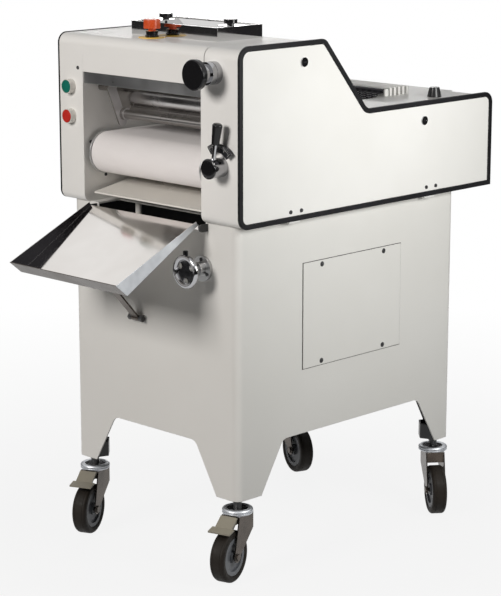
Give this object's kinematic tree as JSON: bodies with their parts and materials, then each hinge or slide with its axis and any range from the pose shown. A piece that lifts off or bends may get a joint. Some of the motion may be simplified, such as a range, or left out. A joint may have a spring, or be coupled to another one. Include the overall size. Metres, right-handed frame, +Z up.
{
  "type": "dough moulder",
  "caption": "Floor-standing dough moulder: sheeting rollers under a feed hopper, moulding belt with pressing board, front catch tray and a sheet-metal stand on swivel castors.",
  "frame": {"origin": "on the floor under the middle of the overall bounding box", "axes": "+Z up, -Y towards the operator's front with the catch tray, +X towards the drive side with the hinged cover"},
  "size_m": [0.6557, 1.1706, 1.3013],
  "materials": {
    "cabinet_paint": "satin powder coat",
    "black_paint": "satin",
    "zinc_steel": "zinc plated",
    "black_steel": "blackened",
    "stainless": "polished",
    "chrome_steel": "polished",
    "edging_rubber": "satin",
    "castor_tyre": "matte",
    "hub_plastic": "matte",
    "pedal_plastic": "matte",
    "black_plastic": "glossy",
    "white_plastic": "glossy",
    "green_plastic": "glossy",
    "red_plastic": "glossy",
    "estop_red": "glossy",
    "estop_yellow": "satin",
    "belt_fabric": "woven",
    "drum_aluminium": "turned",
    "scale_aluminium": "anodised",
    "motor_paint": "satin"
  },
  "bodies": {
    "machine": {"stand_shell": "cabinet_paint", "stand_brackets": "black_paint", "access_panel": "cabinet_paint", "panel_screws": "black_steel", "cable_inlet": "black_plastic", "left_casing": "cabinet_paint", "right_casing": "cabinet_paint", "front_cover": "cabinet_paint", "rear_cover": "cabinet_paint", "left_side_cover": "cabinet_paint", "left_cover_trim": "edging_rubber", "hopper": "stainless", "scraper": "stainless", "front_guard": "stainless", "conveyor_belt": "belt_fabric", "belt_bed": "stainless", "handwheel_flange": "stainless", "button_bezels": "white_plastic", "gap_knob_sleeve": "chrome_steel", "index_sector": "scale_aluminium", "estop_base": "estop_yellow", "drive_motor": "motor_paint", "drive_chain": "zinc_steel"},
    "front_right_castor": {"front_right_castor_fork": "zinc_steel"},
    "front_right_wheel": {"front_right_castor_hub": "hub_plastic", "front_right_castor_tyre": "castor_tyre"},
    "front_right_brake": {"front_right_brake_pedal": "pedal_plastic"},
    "front_left_castor": {"front_left_castor_fork": "zinc_steel"},
    "front_left_wheel": {"front_left_castor_hub": "hub_plastic", "front_left_castor_tyre": "castor_tyre"},
    "front_left_brake": {"front_left_brake_pedal": "pedal_plastic"},
    "rear_right_castor": {"rear_right_castor_fork": "zinc_steel"},
    "rear_right_wheel": {"rear_right_castor_hub": "hub_plastic", "rear_right_castor_tyre": "castor_tyre"},
    "rear_left_castor": {"rear_left_castor_fork": "zinc_steel"},
    "rear_left_wheel": {"rear_left_castor_hub": "hub_plastic", "rear_left_castor_tyre": "castor_tyre"},
    "right_cover": {"right_side_cover": "cabinet_paint", "right_cover_trim": "edging_rubber"},
    "front_latch": {"front_cover_latch": "black_plastic"},
    "rear_latch": {"rear_cover_latch": "black_plastic"},
    "start_button": {"start_button": "green_plastic"},
    "stop_button": {"stop_button": "red_plastic"},
    "estop_button": {"estop_button": "estop_red"},
    "gap_knob": {"gap_knob": "black_plastic"},
    "setting_lever": {"index_lever": "chrome_steel", "lever_grip": "black_plastic"},
    "left_thumb_knob": {"left_thumb_knob": "black_plastic"},
    "right_thumb_knob": {"right_thumb_knob": "black_plastic"},
    "deck_knob": {"deck_knob": "black_plastic"},
    "handwheel": {"handwheel": "chrome_steel"},
    "pressing_board": {"pressing_board": "white_plastic"},
    "front_drum": {"front_drum": "drum_aluminium"},
    "rear_drum": {"rear_drum": "drum_aluminium"},
    "front_roller": {"front_sheeting_roller": "chrome_steel"},
    "rear_roller": {"rear_sheeting_roller": "chrome_steel"},
    "motor_sprocket": {"motor_sprocket": "zinc_steel"},
    "tray": {"tray": "stainless"},
    "tray_strut": {"tray_strut": "stainless"},
    "chain_mesh": {"chain_mesh": "stainless"}
  },
  "joints": [
    {"name": "front_right_swivel", "type": "hinge", "parent": "machine", "child": "front_right_castor", "pos_m": [0.23485, -0.27525, 0.164], "axis": [0, 0, 1], "continuous": true},
    {"name": "front_right_roll", "type": "hinge", "parent": "front_right_castor", "child": "front_right_wheel", "pos_m": [0.24698, -0.31755, 0.0625], "axis": [-0.9613, -0.2756, 0], "continuous": true},
    {"name": "front_right_brake_press", "type": "hinge", "parent": "front_right_castor", "child": "front_right_brake", "pos_m": [0.24146, -0.29832, 0.147], "axis": [0.9613, 0.2756, 0], "range_deg": [0, 8]},
    {"name": "front_left_swivel", "type": "hinge", "parent": "machine", "child": "front_left_castor", "pos_m": [-0.27415, -0.27525, 0.164], "axis": [0, 0, 1], "continuous": true},
    {"name": "front_left_roll", "type": "hinge", "parent": "front_left_castor", "child": "front_left_wheel", "pos_m": [-0.25626, -0.31545, 0.0625], "axis": [-0.9135, -0.4067, 0], "continuous": true},
    {"name": "front_left_brake_press", "type": "hinge", "parent": "front_left_castor", "child": "front_left_brake", "pos_m": [-0.26439, -0.29718, 0.147], "axis": [0.9135, 0.4067, 0], "range_deg": [0, 8]},
    {"name": "rear_right_swivel", "type": "hinge", "parent": "machine", "child": "rear_right_castor", "pos_m": [0.23485, 0.44525, 0.164], "axis": [0, 0, 1], "continuous": true},
    {"name": "rear_right_roll", "type": "hinge", "parent": "rear_right_castor", "child": "rear_right_wheel", "pos_m": [0.26943, 0.41804, 0.0625], "axis": [-0.6184, -0.7859, 0], "continuous": true},
    {"name": "rear_left_swivel", "type": "hinge", "parent": "machine", "child": "rear_left_castor", "pos_m": [-0.27415, 0.44525, 0.164], "axis": [0, 0, 1], "continuous": true},
    {"name": "rear_left_roll", "type": "hinge", "parent": "rear_left_castor", "child": "rear_left_wheel", "pos_m": [-0.23281, 0.4302, 0.0625], "axis": [-0.342, -0.9397, 0], "continuous": true},
    {"name": "right_cover_hinge", "type": "hinge", "parent": "machine", "child": "right_cover", "pos_m": [0.28335, 0.10525, 0.8445], "axis": [0, 1, 0], "range_deg": [0, 90]},
    {"name": "front_latch_turn", "type": "hinge", "parent": "right_cover", "child": "front_latch", "pos_m": [0.29235, -0.11375, 1.2135], "axis": [1, 0, 0], "range_deg": [0, 90]},
    {"name": "rear_latch_turn", "type": "hinge", "parent": "right_cover", "child": "rear_latch", "pos_m": [0.29235, 0.31875, 1.037], "axis": [1, 0, 0], "range_deg": [0, 90]},
    {"name": "start_press", "type": "slide", "parent": "machine", "child": "start_button", "axis": [0, 1, 0], "range_m": [0, 0.003], "stiffness_N_per_m": 800, "springref_m": -0.002},
    {"name": "stop_press", "type": "slide", "parent": "machine", "child": "stop_button", "axis": [0, 1, 0], "range_m": [0, 0.003], "stiffness_N_per_m": 800, "springref_m": -0.002},
    {"name": "estop_press", "type": "slide", "parent": "machine", "child": "estop_button", "axis": [0, 0, -1], "range_m": [0, 0.004], "stiffness_N_per_m": 1500, "springref_m": -0.003},
    {"name": "gap_knob_turn", "type": "hinge", "parent": "machine", "child": "gap_knob", "pos_m": [0.21335, -0.37475, 1.2], "axis": [0, -1, 0], "range_deg": [-150, 150]},
    {"name": "setting_lever_swing", "type": "hinge", "parent": "machine", "child": "setting_lever", "pos_m": [0.23435, -0.34475, 0.988], "axis": [0, -1, 0], "range_deg": [-40, 40]},
    {"name": "left_thumb_knob_turn", "type": "hinge", "parent": "machine", "child": "left_thumb_knob", "pos_m": [-0.13765, -0.14375, 1.29], "axis": [0, 0, 1], "range_deg": [-180, 180]},
    {"name": "right_thumb_knob_turn", "type": "hinge", "parent": "machine", "child": "right_thumb_knob", "pos_m": [0.08285, -0.14375, 1.29], "axis": [0, 0, 1], "range_deg": [-180, 180]},
    {"name": "deck_knob_turn", "type": "hinge", "parent": "machine", "child": "deck_knob", "pos_m": [0.21735, 0.44525, 1.085], "axis": [0, 0, 1], "range_deg": [-180, 180]},
    {"name": "handwheel_turn", "type": "hinge", "parent": "machine", "child": "handwheel", "pos_m": [0.15435, -0.34475, 0.74], "axis": [0, -1, 0], "range_deg": [-361, 361]},
    {"name": "pressing_board_lift", "type": "slide", "parent": "machine", "child": "pressing_board", "axis": [0, 0, 1], "range_m": [-0.006, 0.006]},
    {"name": "front_drum_spin", "type": "hinge", "parent": "machine", "child": "front_drum", "pos_m": [-0.01965, -0.26475, 0.969], "axis": [-1, 0, 0], "continuous": true},
    {"name": "rear_drum_spin", "type": "hinge", "parent": "machine", "child": "rear_drum", "pos_m": [-0.01965, 0.49025, 0.969], "axis": [-1, 0, 0], "continuous": true},
    {"name": "front_roller_spin", "type": "hinge", "parent": "machine", "child": "front_roller", "pos_m": [-0.01965, -0.18475, 1.10614], "axis": [-1, 0, 0], "continuous": true},
    {"name": "rear_roller_spin", "type": "hinge", "parent": "machine", "child": "rear_roller", "pos_m": [-0.01965, -0.09275, 1.10614], "axis": [-1, 0, 0], "continuous": true},
    {"name": "motor_sprocket_spin", "type": "hinge", "parent": "machine", "child": "motor_sprocket", "pos_m": [0.21035, -0.07475, 0.65], "axis": [-1, 0, 0], "continuous": true},
    {"name": "tray_fold", "type": "hinge", "parent": "machine", "child": "tray", "pos_m": [-0.02415, -0.32375, 0.838], "axis": [-1, 0, 0], "range_deg": [0, 60]},
    {"name": "tray_strut_fold", "type": "hinge", "parent": "machine", "child": "tray_strut", "pos_m": [-0.06665, -0.31675, 0.588], "axis": [1, 0, 0], "range_deg": [0, 130]},
    {"name": "chain_mesh_lift", "type": "hinge", "parent": "machine", "child": "chain_mesh", "pos_m": [-0.03215, 0.36525, 1.09], "axis": [-1, 0, 0], "range_deg": [0, 60]}
  ],
  "couplings": [
    {"joint": "rear_drum_spin", "follows": "front_drum_spin", "ratio": 1},
    {"joint": "front_roller_spin", "follows": "front_drum_spin", "ratio": 1.3571},
    {"joint": "rear_roller_spin", "follows": "front_drum_spin", "ratio": -1.3571},
    {"joint": "motor_sprocket_spin", "follows": "front_drum_spin", "ratio": 1.3571},
    {"joint": "handwheel_turn", "follows": "pressing_board_lift", "rad_per_m": 1047.2}
  ]
}
